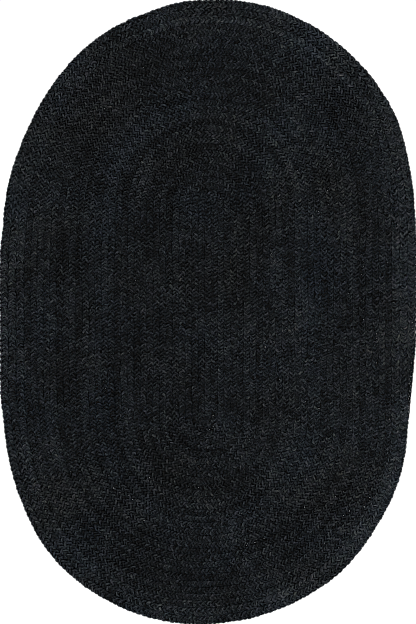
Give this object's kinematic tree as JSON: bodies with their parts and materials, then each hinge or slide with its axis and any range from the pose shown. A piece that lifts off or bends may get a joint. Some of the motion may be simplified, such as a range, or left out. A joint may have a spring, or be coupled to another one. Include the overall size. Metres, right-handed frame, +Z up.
{
  "type": "oval braided rug",
  "caption": "Flat oval floor rug of dyed jute: a long flat braid coiled round a straight first pass and sewn, with a border of coarser braid.",
  "frame": {"origin": "on the underside, at the middle of the rug's box in plan", "axes": "+Z up from the floor, +Y along the rug towards the end that lies at the top of the picture, +X to the right of the picture"},
  "size_m": [1.2, 1.7996, 0.0105],
  "materials": {
    "field_jute": "black-dyed jute strands in a flat braid, matt with a faint sheen along the fibres",
    "border_jute": "coarser black-dyed jute braid, slightly lighter, matt with a faint sheen along the fibres"
  },
  "bodies": {
    "root": {"field_braid": "field_jute", "border_braid": "border_jute"}
  },
  "joints": []
}
